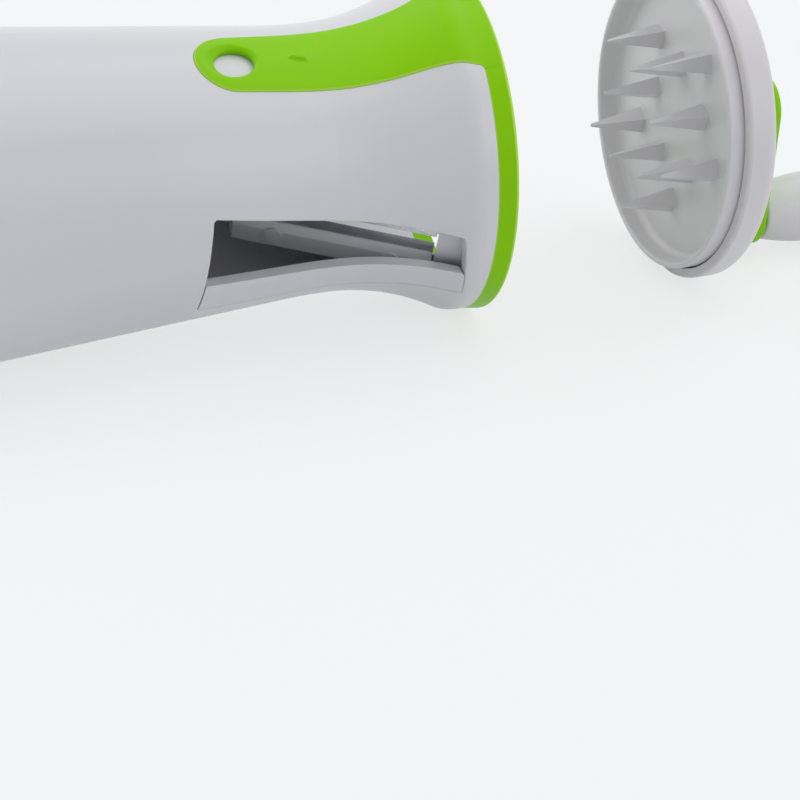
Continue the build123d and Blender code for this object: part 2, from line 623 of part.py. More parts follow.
# ---- blades with the clamps that hold them down, and the slitting combs ------------------------
for end in ENDS:
    with BuildPart() as blade:
        with BuildSketch(along_blade(end, BLADE_LENGTH)):
            with BuildLine():
                Polyline(
                    (0, 0),
                    (-BLADE_BEVEL, BLADE_THICKNESS),
                    (-BLADE_WIDTH, BLADE_THICKNESS),
                    (-BLADE_WIDTH, 0),
                    close=True,
                )
            make_face()
        extrude(amount=BLADE_LENGTH)
        with Locations(on_blade(end, STAKE_REACH, -STAKE_LINE, 0)):
            Cylinder(STAKE_HOLE_RADIUS, 2 * BLADE_THICKNESS, mode=Mode.SUBTRACT)
    save(f"{end.name}_blade", blade)

    with BuildPart() as clamp:
        with BuildSketch(along_blade(end, BLADE_LENGTH)):
            with BuildLine():
                Polyline(
                    (-BLADE_BEVEL - CLAMP_EDGE, BLADE_THICKNESS),
                    (-BLADE_BEVEL - CLAMP_EDGE, BLADE_THICKNESS + CLAMP_EDGE),
                    (-BLADE_BEVEL - CLAMP_EDGE - CLAMP_NOSE, CLAMP_TOP),
                    (-CLAMP_REAR, CLAMP_TOP),
                    (-CLAMP_REAR, 0),
                    (-BLADE_WIDTH - SNUG, 0),
                    (-BLADE_WIDTH - SNUG, BLADE_THICKNESS),
                    close=True,
                )
            make_face()
        extrude(amount=BLADE_LENGTH)
        with Locations(on_blade(end, STAKE_REACH, -STAKE_LINE, 0)):
            Cylinder(STAKE_HOLE_RADIUS, 2 * CLAMP_TOP, mode=Mode.SUBTRACT)
    save(f"{end.name}_clamp", clamp)

    with BuildPart() as comb:
        with BuildSketch(along_blade(end, BLADE_LENGTH)):
            with Locations((SLOT_ABOVE_EDGE - COMB_THICKNESS / 2, COMB_TOP - COMB_PLATE / 2)):
                Rectangle(COMB_THICKNESS, COMB_PLATE)
            with Locations((COMB_STAKE_LINE, COMB_TOP - COMB_THICKNESS / 2)):
                Rectangle(COMB_FLANGE - COMB_THICKNESS, COMB_THICKNESS)
        extrude(amount=BLADE_LENGTH)
        teeth = int((BLADE_LENGTH - COMB_TOOTH_WIDTH) / end.tooth_pitch) + 1
        tooth_height = COMB_TOP - COMB_PLATE + COMB_TOOTH_HEIGHT
        with Locations(blade_plane(end) * Pos(0, SLOT_ABOVE_EDGE - COMB_THICKNESS / 2, 0)):
            with Locations((0, 0, tooth_height / 2 - COMB_TOOTH_HEIGHT)):
                with GridLocations(end.tooth_pitch, 1, teeth, 1):
                    Box(COMB_TOOTH_WIDTH, COMB_THICKNESS, tooth_height)
        with Locations(on_blade(end, COMB_STAKE_REACH, COMB_STAKE_LINE, COMB_SEAT)):
            Cylinder(COMB_STAKE_RADIUS + SNUG, 2 * COMB_THICKNESS, mode=Mode.SUBTRACT)
    save(f"{end.name}_comb", comb)

# ---- sills that close the lower part of each window -------------------------------------------
for end in ENDS:
    with BuildPart() as sill:
        add(patch(end, sill_outline(), 0, -WALL))
        for depth in TAB_DEPTHS:
            add(patch(end, tab_outline(depth, 0), -WALL / 2, TAB_INNER))
            add(patch(end, tab_outline(depth, SILL_TAB_REACH), TAB_OUTER, TAB_INNER))
    save(f"{end.name}_sill", sill)

# ---- holder: the guard that is held, with the bush in its hub ------------------------------------
with BuildPart() as guard:
    with BuildSketch(facing(FRONT, 0)) as section:
        with BuildLine():
            Polyline(
                (HOLDER_GAP, LIP_RADIUS + RUNNING_GAP),
                (HOLDER_GAP, RIM_RADIUS),
                (GUARD_BACK, RIM_RADIUS),
                (GUARD_BACK, HUB_RADIUS),
                (HUB_END, HUB_RADIUS),
                (HUB_END, BUSH_RADIUS),
                (GUARD_FACE, BUSH_RADIUS),
                (GUARD_FACE, LIP_RADIUS + RUNNING_GAP),
                close=True,
            )
        make_face()
        fillet(nearest(section, HOLDER_GAP, RIM_RADIUS), GUARD_FRONT_FILLET)
        fillet(nearest(section, GUARD_BACK, RIM_RADIUS), GUARD_BACK_FILLET)
        fillet(nearest(section, GUARD_BACK, HUB_RADIUS), HUB_FILLET)
        fillet(nearest(section, HUB_END, HUB_RADIUS), COLLAR_FILLET)
    revolve(axis=axis_of(FRONT))
    with BuildSketch(facing(FRONT, 0)):
        with BuildLine():
            Polyline(
                (GUARD_BACK - RIB_ROOT, (HUB_RADIUS + BUSH_RADIUS) / 2),
                (GUARD_BACK - RIB_ROOT, RIB_REACH),
                (GUARD_BACK, RIB_REACH),
                (HUB_END - RIB_THICKNESS, HUB_RADIUS),
                (HUB_END - RIB_THICKNESS, (HUB_RADIUS + BUSH_RADIUS) / 2),
                close=True,
            )
        make_face()
    rib = extrude(amount=RIB_THICKNESS / 2, both=True)
    for turn in range(1, RIB_COUNT):
        add(rib.rotate(axis_of(FRONT), turn * 360 / RIB_COUNT))
    split(bisect_by=Plane.XY.offset(FLAT_LEVEL), keep=Keep.TOP)
save("guard", guard)

with BuildPart() as hub_bush:
    with BuildSketch(facing(FRONT, 0)):
        with BuildLine():
            Polyline(
                (DISH_BACK + SPINDLE_CLEARANCE, BORE_RADIUS),
                (DISH_BACK + SPINDLE_CLEARANCE, BUSH_FLANGE_RADIUS),
                (GUARD_FACE, BUSH_FLANGE_RADIUS),
                (GUARD_FACE, BUSH_RADIUS),
                (HUB_END, BUSH_RADIUS),
                (HUB_END, BORE_RADIUS),
                close=True,
            )
        make_face()
    revolve(axis=axis_of(FRONT))
save("hub_bush", hub_bush)

# ---- pronged dish and the spindle that turns it ---------------------------------------------
with BuildPart() as prong:
    with BuildSketch():
        RegularPolygon(PRONG_BASE / 2, 4)
    with BuildSketch(Plane.XY.offset(-PRONG_LENGTH)):
        RegularPolygon(PRONG_TIP / 2, 4)
    loft()

with BuildPart() as prong_dish:
    with BuildSketch(facing(FRONT, 0)) as section:
        with BuildLine():
            Polyline(
                (LIP_EDGE, LIP_RADIUS - LIP_WALL),
                (LIP_EDGE, LIP_RADIUS),
                (DISH_BACK, LIP_RADIUS),
                (DISH_BACK, 0),
                (DISH_FACE, 0),
                (DISH_FACE, LIP_RADIUS - LIP_WALL),
                close=True,
            )
        make_face()
        fillet(section.vertices().group_by(Axis.X)[0], LIP_FILLET)
        fillet(nearest(section, DISH_FACE, LIP_RADIUS - LIP_WALL), DISH_FILLET)
    revolve(axis=axis_of(FRONT))
    for ring_radius, ring_turn in ((OUTER_PRONG_RADIUS, 0), (INNER_PRONG_RADIUS, PRONG_STEP / 2)):
        with Locations(Plane.YZ.offset(DISH_FACE)):
            with PolarLocations(ring_radius, PRONG_COUNT, 180 - PRONG_TURN + ring_turn):
                add(prong.part)
    with BuildSketch(Plane.YZ.offset(DISH_BACK)):
        RegularPolygon(SPINDLE_HEAD_ACROSS / 2 + SNUG, 6, major_radius=False)
    extrude(amount=-SPINDLE_HEAD_THICKNESS, mode=Mode.SUBTRACT)
save("prong_dish", prong_dish)

with BuildPart() as spindle:
    with BuildSketch(Plane.YZ.offset(DISH_BACK)):
        RegularPolygon(SPINDLE_HEAD_ACROSS / 2, 6, major_radius=False)
    extrude(amount=-SPINDLE_HEAD_THICKNESS)
    with BuildSketch(Plane.YZ.offset(DISH_BACK)):
        Circle(SPINDLE_RADIUS)
    extrude(amount=CRANK_FACE - DISH_BACK)
    with BuildSketch(Plane.YZ.offset(CRANK_FACE)):
        add(double_flat(0))
    extrude(amount=SPINDLE_END - CRANK_FACE)
    with BuildSketch(Plane.YZ.offset(CLIP_FACE)):
        Circle(2 * SPINDLE_RADIUS)
        Circle(SPINDLE_RADIUS - CLIP_GROOVE, mode=Mode.SUBTRACT)
    extrude(amount=CLIP_THICKNESS, mode=Mode.SUBTRACT)
    with BuildSketch(Plane.YZ.offset(SPINDLE_END)):
        Circle(SCREW_RADIUS + THREAD_CLEARANCE)
    extrude(amount=-SCREW_DEPTH, mode=Mode.SUBTRACT)
save("spindle", spindle)

with BuildPart() as spindle_washer:
    with BuildSketch(Plane.YZ.offset(WASHER_FACE)):
        Circle(HUB_RADIUS - COLLAR_FILLET)
        Circle(BORE_RADIUS, mode=Mode.SUBTRACT)
    extrude(amount=WASHER_THICKNESS)
save("spindle_washer", spindle_washer)

with BuildPart() as retaining_clip:
    with BuildSketch(Plane.YZ.offset(CLIP_FACE)):
        Circle(CLIP_RADIUS)
        Circle(CLIP_RADIUS - CLIP_BAND, mode=Mode.SUBTRACT)
        with PolarLocations((CLIP_RADIUS + CLIP_BORE) / 2, 3, 90):
            Rectangle(CLIP_RADIUS - CLIP_BORE, 2 * CLIP_BAND)
        Circle(CLIP_BORE, mode=Mode.SUBTRACT)
        with Locations((0, -CLIP_RADIUS)):
            Rectangle(2 * CLIP_BORE, 2 * CLIP_BORE, mode=Mode.SUBTRACT)
    extrude(amount=CLIP_THICKNESS)
save("retaining_clip", retaining_clip)

# ---- crank ----------------------------------------------------------------------------------
with BuildPart() as crank_arm:
    with BuildSketch(Plane.YZ.offset(CRANK_FACE)):
        Circle(CRANK_HUB_RADIUS)
        with Locations((0, -CRANK_THROW)):
            Circle(CRANK_END_RADIUS)
        make_hull()
    extrude(amount=CRANK_THICKNESS)
    fillet(crank_arm.edges().group_by(Axis.X)[-1], CRANK_FILLET)
    fillet(crank_arm.edges().group_by(Axis.X)[0], CRANK_FILLET)
    with BuildSketch(Plane.YZ.offset(CRANK_FACE)):
        add(double_flat(THREAD_CLEARANCE))
    extrude(amount=CRANK_THICKNESS, mode=Mode.SUBTRACT)
    with BuildSketch(Plane.YZ.offset(CRANK_BACK)):
        Circle(SCREW_HEAD_RADIUS + CRANK_CLEARANCE)
    extrude(amount=-SCREW_HEAD_HEIGHT, mode=Mode.SUBTRACT)
    with BuildSketch(KNOB_AXIS_PLANE.offset(CRANK_BACK)):
        Circle(PIN_RADIUS + THREAD_CLEARANCE)
    extrude(amount=-PIN_SEAT, mode=Mode.SUBTRACT)
save("crank_arm", crank_arm)

with BuildPart() as crank_screw:
    with BuildSketch(Plane.YZ.offset(SCREW_FACE)):
        Circle(SCREW_HEAD_RADIUS)
    extrude(amount=SCREW_HEAD_HEIGHT)
    fillet(crank_screw.edges().group_by(Axis.X)[-1], COLLAR_FILLET)
    with BuildSketch(Plane.YZ.offset(SCREW_FACE)):
        Circle(SCREW_RADIUS)
    extrude(amount=-SCREW_DEPTH)
    with BuildSketch(Plane.YZ.offset(CRANK_BACK)):
        RegularPolygon(SCREW_SOCKET_ACROSS / 2, 6, major_radius=False)
    extrude(amount=-SCREW_SOCKET_DEPTH, mode=Mode.SUBTRACT)
save("crank_screw", crank_screw)

with BuildPart() as knob_pin:
    with BuildSketch(KNOB_AXIS_PLANE.offset(CRANK_BACK - PIN_SEAT)):
        Circle(PIN_RADIUS)
    extrude(amount=PIN_SHELF - CRANK_BACK + PIN_SEAT)
    with BuildSketch(KNOB_AXIS_PLANE.offset(PIN_SHELF)):
        Circle(PIN_HEAD_RADIUS)
    extrude(amount=PIN_HEAD_HEIGHT)
    fillet(knob_pin.edges().group_by(Axis.X)[-1], COLLAR_FILLET)
save("knob_pin", knob_pin)

with BuildPart() as knob_washer:
    with BuildSketch(KNOB_AXIS_PLANE.offset(CRANK_BACK)):
        Circle(WASHER_RADIUS)
        Circle(PIN_RADIUS + PIN_CLEARANCE, mode=Mode.SUBTRACT)
    extrude(amount=WASHER_THICKNESS)
save("knob_washer", knob_washer)

with BuildPart() as crank_knob:
    with BuildSketch(KNOB_SIDE) as section:
        with BuildLine():
            ThreePointArc(
                (KNOB_FACE, KNOB_NECK_RADIUS),
                (KNOB_FACE + KNOB_BULGE_AT, KNOB_RADIUS),
                (KNOB_END, KNOB_RADIUS - KNOB_CAP_LEDGE),
            )
            Polyline(
                (KNOB_END, KNOB_RADIUS - KNOB_CAP_LEDGE),
                (KNOB_END, KNOB_CAP_RADIUS + SNUG),
                (CAP_FACE, KNOB_CAP_RADIUS + SNUG),
                (CAP_FACE, KNOB_WELL_RADIUS),
                (PIN_SHELF - SPINDLE_CLEARANCE, KNOB_WELL_RADIUS),
                (PIN_SHELF - SPINDLE_CLEARANCE, PIN_RADIUS + PIN_CLEARANCE),
                (KNOB_FACE, PIN_RADIUS + PIN_CLEARANCE),
                (KNOB_FACE, KNOB_NECK_RADIUS),
            )
        make_face()
        fillet(nearest(section, KNOB_END, KNOB_RADIUS - KNOB_CAP_LEDGE), KNOB_FILLET)
        fillet(nearest(section, KNOB_FACE, KNOB_NECK_RADIUS), CRANK_FILLET)
    revolve(axis=KNOB_AXIS)
save("crank_knob", crank_knob)

with BuildPart() as knob_cap:
    with BuildSketch(KNOB_AXIS_PLANE.offset(CAP_FACE)):
        Circle(KNOB_CAP_RADIUS)
    extrude(amount=KNOB_CAP_THICKNESS)
    fillet(knob_cap.edges().group_by(Axis.X)[-1], KNOB_CAP_DOME)
save("knob_cap", knob_cap)
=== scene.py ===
import math

import bmesh
import bpy
from mathutils import Matrix, Vector
from mathutils.geometry import delaunay_2d_cdt


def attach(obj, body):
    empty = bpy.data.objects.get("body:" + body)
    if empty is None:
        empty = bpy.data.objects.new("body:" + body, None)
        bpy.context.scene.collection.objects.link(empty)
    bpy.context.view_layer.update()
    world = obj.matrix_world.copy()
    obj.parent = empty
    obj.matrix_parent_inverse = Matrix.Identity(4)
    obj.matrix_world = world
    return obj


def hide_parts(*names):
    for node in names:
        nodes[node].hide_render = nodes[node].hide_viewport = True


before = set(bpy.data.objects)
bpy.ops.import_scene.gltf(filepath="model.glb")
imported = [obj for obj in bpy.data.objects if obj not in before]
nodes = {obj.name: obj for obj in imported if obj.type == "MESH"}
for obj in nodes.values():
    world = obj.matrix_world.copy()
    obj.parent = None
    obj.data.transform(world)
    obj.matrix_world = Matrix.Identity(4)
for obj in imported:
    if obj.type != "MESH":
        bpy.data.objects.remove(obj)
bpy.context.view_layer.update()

MM = 0.001

# The tool lies along X: body on -X, holder on +X, windows on the sides. The frame's origin is
# the centre of the front mouth's rim.

# ---- camera ---------------------------------------------------------------------------------
CAMERA_PLACE = (-118.3 * MM, -327.0 * MM, 127.8 * MM)
CAMERA_RIGHT = Vector((0.9529, -0.3033, 0.0))
CAMERA_UP = Vector((0.1486, 0.4667, 0.8718))
CAMERA_LENS = 72.0


def add_camera():
    data = bpy.data.cameras.new("camera")
    data.lens = CAMERA_LENS
    data.sensor_width = 36.0
    data.clip_start = 0.01
    camera = bpy.data.objects.new("camera", data)
    bpy.context.scene.collection.objects.link(camera)
    right = CAMERA_RIGHT.normalized()
    back = right.cross(CAMERA_UP).normalized()
    up = back.cross(right)
    turn = Matrix((right, up, back)).transposed().to_4x4()
    camera.matrix_world = Matrix.Translation(CAMERA_PLACE) @ turn
    bpy.context.scene.camera = camera


# ---- shader building blocks -----------------------------------------------------------------
def linear(code):
    """Scene-linear colour of a hex colour code."""
    values = [int(code[i:i + 2], 16) / 255 for i in (0, 2, 4)]
    parts = [v / 12.92 if v <= 0.04045 else ((v + 0.055) / 1.055) ** 2.4 for v in values]
    return (*parts, 1.0)


def put(tree, kind, **settings):
    """Adds a node. Settings name its properties."""
    made = tree.nodes.new(kind)
    for name, value in settings.items():
        setattr(made, name, value)
    return made


def feed(tree, target, value):
    """Sets a socket to a plain value, or links it to another socket."""
    if isinstance(value, bpy.types.NodeSocket):
        tree.links.new(value, target)
    else:
        target.default_value = value


def maths(tree, operation, first, second=0.0, clamp=False):
    made = put(tree, "ShaderNodeMath", operation=operation, use_clamp=clamp)
    feed(tree, made.inputs[0], first)
    feed(tree, made.inputs[1], second)
    return made.outputs[0]


def spread(tree, value, low, high, to_low=0.0, to_high=1.0):
    """Maps a value from one range to another, without going past its ends."""
    made = put(tree, "ShaderNodeMapRange", clamp=True)
    feed(tree, made.inputs["Value"], value)
    made.inputs["From Min"].default_value = low
    made.inputs["From Max"].default_value = high
    made.inputs["To Min"].default_value = to_low
    made.inputs["To Max"].default_value = to_high
    return made.outputs["Result"]


def noise(tree, vector, scale, detail=2.0, roughness=0.5):
    made = put(tree, "ShaderNodeTexNoise")
    feed(tree, made.inputs["Vector"], vector)
    feed(tree, made.inputs["Scale"], scale)
    made.inputs["Detail"].default_value = detail
    made.inputs["Roughness"].default_value = roughness
    return made.outputs["Fac"]


def mix(tree, amount, first, second):
    made = put(tree, "ShaderNodeMix", data_type="RGBA")
    feed(tree, made.inputs["Factor"], amount)
    feed(tree, made.inputs[6], first)
    feed(tree, made.inputs[7], second)
    return made.outputs[2]


def bump(tree, height, distance):
    made = put(tree, "ShaderNodeBump")
    made.inputs["Strength"].default_value = 1.0
    made.inputs["Distance"].default_value = distance
    feed(tree, made.inputs["Height"], height)
    return made.outputs["Normal"]


def place(tree):
    """Object coordinates, which are the frame's own metres."""
    return put(tree, "ShaderNodeTexCoord").outputs["Object"]


def new_group(name, inputs, outputs):
    """An empty shader group with named inputs and outputs."""
    tree = bpy.data.node_groups.new(name, "ShaderNodeTree")
    for label, kind, value in inputs:
        socket = tree.interface.new_socket(label, in_out="INPUT", socket_type=kind)
        if value is not None:
            socket.default_value = value
    for label, kind in outputs:
        tree.interface.new_socket(label, in_out="OUTPUT", socket_type=kind)
    return tree, tree.nodes.new("NodeGroupInput"), tree.nodes.new("NodeGroupOutput")


def use(tree, group, **values):
    """Places a group in a material and feeds its inputs by name."""
    made = put(tree, "ShaderNodeGroup", node_tree=group)
    for label, value in values.items():
        feed(tree, made.inputs[label.replace("_", " ").capitalize()], value)
    return made.outputs


EDGE_HIGHLIGHT_MASK = "edge"          # mesh attribute: one along a rounded edge, where the paler colour is painted as a highlight
FLOAT = "NodeSocketFloat"
VECTOR = "NodeSocketVector"


def moulding_group():
    """Faint waviness of a mould's polished face, with flow marks in the colour."""
    waviness, peel, peel_share, flow_scale = 60.0, 900.0, 0.03, 25.0
    tree, given, result = new_group(
        "Moulding",
        [("Place", VECTOR, None)],
        [("Height", FLOAT), ("Flow", FLOAT)],
    )
    slow = noise(tree, given.outputs["Place"], waviness, 1.0)
    fine = noise(tree, given.outputs["Place"], peel, 2.0)
    height = maths(tree, "ADD", slow, maths(tree, "MULTIPLY", fine, peel_share))
    flow = spread(tree, noise(tree, given.outputs["Place"], flow_scale, 3.0), 0.3, 0.7)
    tree.links.new(height, result.inputs["Height"])
    tree.links.new(flow, result.inputs["Flow"])
    return tree


def handling_group():
    """Hairline scratches and smears from use, as a roughness and as a mask of the scratches."""
    turns = (0.5, 1.9, 2.7)
    along, across = 30.0, 900.0
    roughening = 0.05
    tree, given, result = new_group(
        "Handling",
        [("Place", VECTOR, None), ("Smears", FLOAT, 1.0)],
        [("Roughening", FLOAT), ("Depth", FLOAT)],
    )
    masks = []
    for turn in turns:
        tilt = put(tree, "ShaderNodeMapping")
        feed(tree, tilt.inputs["Vector"], given.outputs["Place"])
        tilt.inputs["Rotation"].default_value = (turn, turn * 0.7, turn * 1.3)
        tilt.inputs["Scale"].default_value = (along, across, across)
        streak = noise(tree, tilt.outputs["Vector"], 1.0, 1.0)
        masks.append(spread(tree, streak, 0.74, 0.82))
    lines = maths(tree, "MAXIMUM", maths(tree, "MAXIMUM", masks[0], masks[1]), masks[2])
    smear = spread(tree, noise(tree, given.outputs["Place"], 45.0, 4.0, 0.6), 0.45, 0.75)
    smear = maths(tree, "MULTIPLY", smear, given.outputs["Smears"])
    from_lines = maths(tree, "MULTIPLY", lines, roughening)
    from_smears = maths(tree, "MULTIPLY", smear, roughening)
    tree.links.new(maths(tree, "ADD", from_lines, from_smears), result.inputs["Roughening"])
    tree.links.new(lines, result.inputs["Depth"])
    return tree


def grinding_group():
    """Parallel grinding lines that run along a direction."""
    fineness, stretch = 9000.0, 0.985
    tree, given, result = new_group(
        "Grinding",
        [("Place", VECTOR, None), ("Direction", VECTOR, (1.0, 0.0, 0.0))],
        [("Lines", FLOAT)],
    )
    length = put(tree, "ShaderNodeVectorMath", operation="DOT_PRODUCT")
    feed(tree, length.inputs[0], given.outputs["Place"])
    feed(tree, length.inputs[1], given.outputs["Direction"])
    along = put(tree, "ShaderNodeVectorMath", operation="SCALE")
    feed(tree, along.inputs[0], given.outputs["Direction"])
    feed(tree, along.inputs["Scale"], maths(tree, "MULTIPLY", length.outputs["Value"], stretch))
    across = put(tree, "ShaderNodeVectorMath", operation="SUBTRACT")
    feed(tree, across.inputs[0], given.outputs["Place"])
    feed(tree, across.inputs[1], along.outputs[0])
    lines = noise(tree, across.outputs[0], fineness, 2.0, 0.6)
    tree.links.new(lines, result.inputs["Lines"])
    return tree


MOULDING = moulding_group()
HANDLING = handling_group()
GRINDING = grinding_group()

PLASTIC_RELIEF = 0.05 * MM
STEEL_RELIEF = 0.01 * MM
SCRATCH_DEPTH = 0.004       # as a share of the plastic's relief
BLADE_WAY = (0.897, -0.359, -0.184)     # along the front blade's edge
REAR_BLADE_WAY = (-BLADE_WAY[0], -BLADE_WAY[1], BLADE_WAY[2])
KNOB_AXIS_HEIGHT = -27 * MM


def new_material(name):
    material = bpy.data.materials.new(name)
    material.use_nodes = True
    return material, material.node_tree, material.node_tree.nodes["Principled BSDF"]


def plastic(name, colour, flow_colour, roughness, specular=0.5, edge=None):
    """Moulded plastic. An edge colour is a paler colour painted along rounded edges as a highlight.
    """
    material, tree, shader = new_material(name)
    spot = place(tree)
    mould = use(tree, MOULDING, place=spot)
    handled = use(tree, HANDLING, place=spot)
    tone = mix(tree, mould["Flow"], linear(colour), linear(flow_colour))
    if edge:
        # Painted highlight: the edge mask mixes the paler edge colour in along rounded edges.
        mask = put(tree, "ShaderNodeAttribute", attribute_name=EDGE_HIGHLIGHT_MASK).outputs["Fac"]
        tone = mix(tree, mask, tone, linear(edge))
    feed(tree, shader.inputs["Base Color"], tone)
    rough = maths(tree, "ADD", handled["Roughening"], roughness)
    feed(tree, shader.inputs["Roughness"], rough)
    scratch = maths(tree, "MULTIPLY", handled["Depth"], -SCRATCH_DEPTH)
    height = maths(tree, "ADD", mould["Height"], scratch)
    feed(tree, shader.inputs["Normal"], bump(tree, height, PLASTIC_RELIEF))
    shader.inputs["Specular IOR Level"].default_value = specular
    return material


def steel(name, direction):
    """Ground steel, with its lines along a direction."""
    material, tree, shader = new_material(name)
    spot = place(tree)
    lines = use(tree, GRINDING, place=spot, direction=direction)["Lines"]
    handled = use(tree, HANDLING, place=spot, smears=0.6)
    tone = mix(tree, spread(tree, lines, 0.35, 0.65), linear("A9A9AE"), linear("CFCFD2"))
    feed(tree, shader.inputs["Base Color"], tone)
    rough = maths(tree, "ADD", spread(tree, lines, 0.3, 0.7, 0.28, 0.16), handled["Roughening"])
    feed(tree, shader.inputs["Roughness"], rough)
    feed(tree, shader.inputs["Normal"], bump(tree, lines, STEEL_RELIEF))
    shader.inputs["Metallic"].default_value = 1.0
    return material


def turned_steel(name, axis_height):
    """Steel with the rings that a lathe leaves around an axis along X at a height."""
    material, tree, shader = new_material(name)
    spot = place(tree)
    moved = put(tree, "ShaderNodeVectorMath", operation="SUBTRACT")
    feed(tree, moved.inputs[0], spot)
    moved.inputs[1].default_value = (0.0, 0.0, axis_height)
    parts = put(tree, "ShaderNodeSeparateXYZ")
    feed(tree, parts.inputs[0], moved.outputs[0])
    squares = maths(
        tree, "ADD",
        maths(tree, "MULTIPLY", parts.outputs["Y"], parts.outputs["Y"]),
        maths(tree, "MULTIPLY", parts.outputs["Z"], parts.outputs["Z"]),
    )
    ring = put(tree, "ShaderNodeCombineXYZ")
    feed(tree, ring.inputs["X"], maths(tree, "SQRT", squares))
    feed(tree, ring.inputs["Y"], parts.outputs["X"])
    lines = noise(tree, ring.outputs[0], 6000.0, 2.0)
    tone = mix(tree, spread(tree, lines, 0.35, 0.65), linear("97979B"), linear("C4C4C8"))
    feed(tree, shader.inputs["Base Color"], tone)
    feed(tree, shader.inputs["Roughness"], spread(tree, lines, 0.3, 0.7, 0.34, 0.22))
    feed(tree, shader.inputs["Normal"], bump(tree, lines, STEEL_RELIEF))
    shader.inputs["Metallic"].default_value = 1.0
    return material


def dress(material, *names):
    """Gives CAD pieces a finish."""
    for name in names:
        mesh = nodes[name].data
        mesh.materials.clear()
        mesh.materials.append(material)


SHELL_WHITE = plastic("glossy white shell", "E2E2E6", "DEDEE3", 0.30)
INNER_WHITE = plastic("white cone", "DEDEE2", "D8D8DD", 0.34)
HOLDER_WHITE = plastic("grey white holder", "E4E1E4", "DFDCDF", 0.32)
# The lime's paler edge colour C0EE58 is a painted highlight along the collar's rounded edges.
LIME = plastic("lime green collar", "92DA02", "8CD400", 0.32, specular=0.12, edge="C0EE58")
BEARING = plastic("grey bearing", "6A6A6D", "626266", 0.45)
FRONT_STEEL = steel("front blade steel", BLADE_WAY)
REAR_STEEL = steel("rear blade steel", REAR_BLADE_WAY)
SPINDLE_STEEL = turned_steel("turned spindle steel", 0.0)
PIN_STEEL = turned_steel("turned pin steel", KNOB_AXIS_HEIGHT)

dress(SHELL_WHITE, "body_shell", "front_sill", "rear_sill")
dress(INNER_WHITE, "front_cone", "rear_cone", "front_clamp", "rear_clamp")
dress(HOLDER_WHITE, "guard", "prong_dish", "crank_knob")
dress(LIME, "front_collar", "rear_collar", "crank_arm", "knob_cap")
dress(BEARING, "hub_bush", "knob_washer")
dress(FRONT_STEEL, "front_blade", "front_comb")
dress(REAR_STEEL, "rear_blade", "rear_comb")
dress(SPINDLE_STEEL, "spindle", "spindle_washer", "retaining_clip", "crank_screw")
dress(PIN_STEEL, "knob_pin")


# ---- collars, built here for their rounded edges ------------------------------------------------
# Sizes in millimetres, depths measured from the rim of the mouth, as in the part's source.
BODY_LENGTH = 145.0
REAR_BAND = 8.0
RIM_RADIUS = 38.0
BODY_RADIUS = 37.4
WAIST_RADIUS = 29.6
WAIST_DEPTH = 36.0
FLARE_SWEEP = 52.0
TAPER_SWEEP = 110.0
SHOULDER_ROUND = 7.4
MOUTH_RADIUS = 35.8
MOUTH_DEPTH = 4.0
COLLAR_BAND = 4.5
SPIGOT_RADIUS = 36.2
SPIGOT_INSIDE = 33.9
SPIGOT_END = 6.5
SEAT_DEPTH = 8.5
RIM_ROUND = 0.7
BAND_ROUND = 0.3
SPIGOT_ROUND = 0.3
MOUTH_ROUND = 0.2
BAND_STATIONS = (0.85, 2.0, 3.2, 4.05)  # rings of points across the band
RING_SEGMENTS = 288
ROUND_STEPS = 5
FLAT_HEIGHT = -37.2
TONGUE_ELEVATION = math.radians(66.0)
TONGUE_START = 0.5
TONGUE_END = 62.0
TONGUE_HALF_WIDTH = 8.2
TONGUE_CENTRE = TONGUE_END - TONGUE_HALF_WIDTH
TONGUE_NECK = (24.0, 9.3)
TONGUE_SHOULDER = (12.5, 10.6)
TONGUE_ROOT = (5.8, 13.0)
NECK_HEADING = (-1, 0.1)    # directions of the outline at the neck and at the root
ROOT_HEADING = (-1, 0.3)
TONGUE_PROUD = 0.4
TONGUE_THICKNESS = 2.0
LEAST_THICKNESS = 0.3
TONGUE_ROUND = 0.35
OVERLAP = 0.07              # how far the tongue's root stands above the band that it joins
BLEND_FROM = 7.5            # depths between which the tongue runs out into the band
BLEND_TO = 3.0
SPIGOT_COVER = 0.15         # how far the tongue's underside stays above the spigot
HOLE_RADIUS = 4.15
HOLE_BEVEL = 1.1
HOLE_FLARE = 1.5
HOLE_LIP_DROP = 0.12        # the bevel's inner edge is rounded down by this much
HOLE_LIP_REACH = 0.15
HOLE_SOFTNESS = 0.16        # how widely the bevel's outer edge is rounded
ARROW_TIP = 42.8
ARROW_LENGTH = 4.2
ARROW_WIDTH = 3.3
ARROW_HEIGHT = 0.6
ARROW_SLOPE = 0.36

# How finely the tongue is divided.
TIP_STEPS = 24
SIDE_STEPS = 30
CURVE_STEPS = 14
FILLET_STEPS = 8
CHORD_STEPS = 21
ROOT_DEPTHS = (3.8, 3.0, 2.2, 1.5, 0.9, TONGUE_START)
EDGE_SHARES = (0.08, 0.3, 0.65, 1.05)   # loops along the rounded edge, as shares of its radius
HOLE_LOOPS = (0.0, 0.07, 0.16, 0.45, 0.8, 1.1, 1.4, 1.7, 2.1)   # loops outside the hole
HOLE_SEGMENTS = 72
ARROW_STEPS = 12
GRID_START = 0.9
GRID_STEP = 0.7
GRID_COLUMNS = 21
GRID_MARGIN = 0.3
HOLE_MARGIN = 2.5
ARROW_MARGIN = 0.2
ARROW_GRID = 0.2
ARROW_GRID_ROWS = 30
ARROW_GRID_COLUMNS = 8
ARROW_GRID_MARGIN = 0.12
SAME_POINT = 1e-5

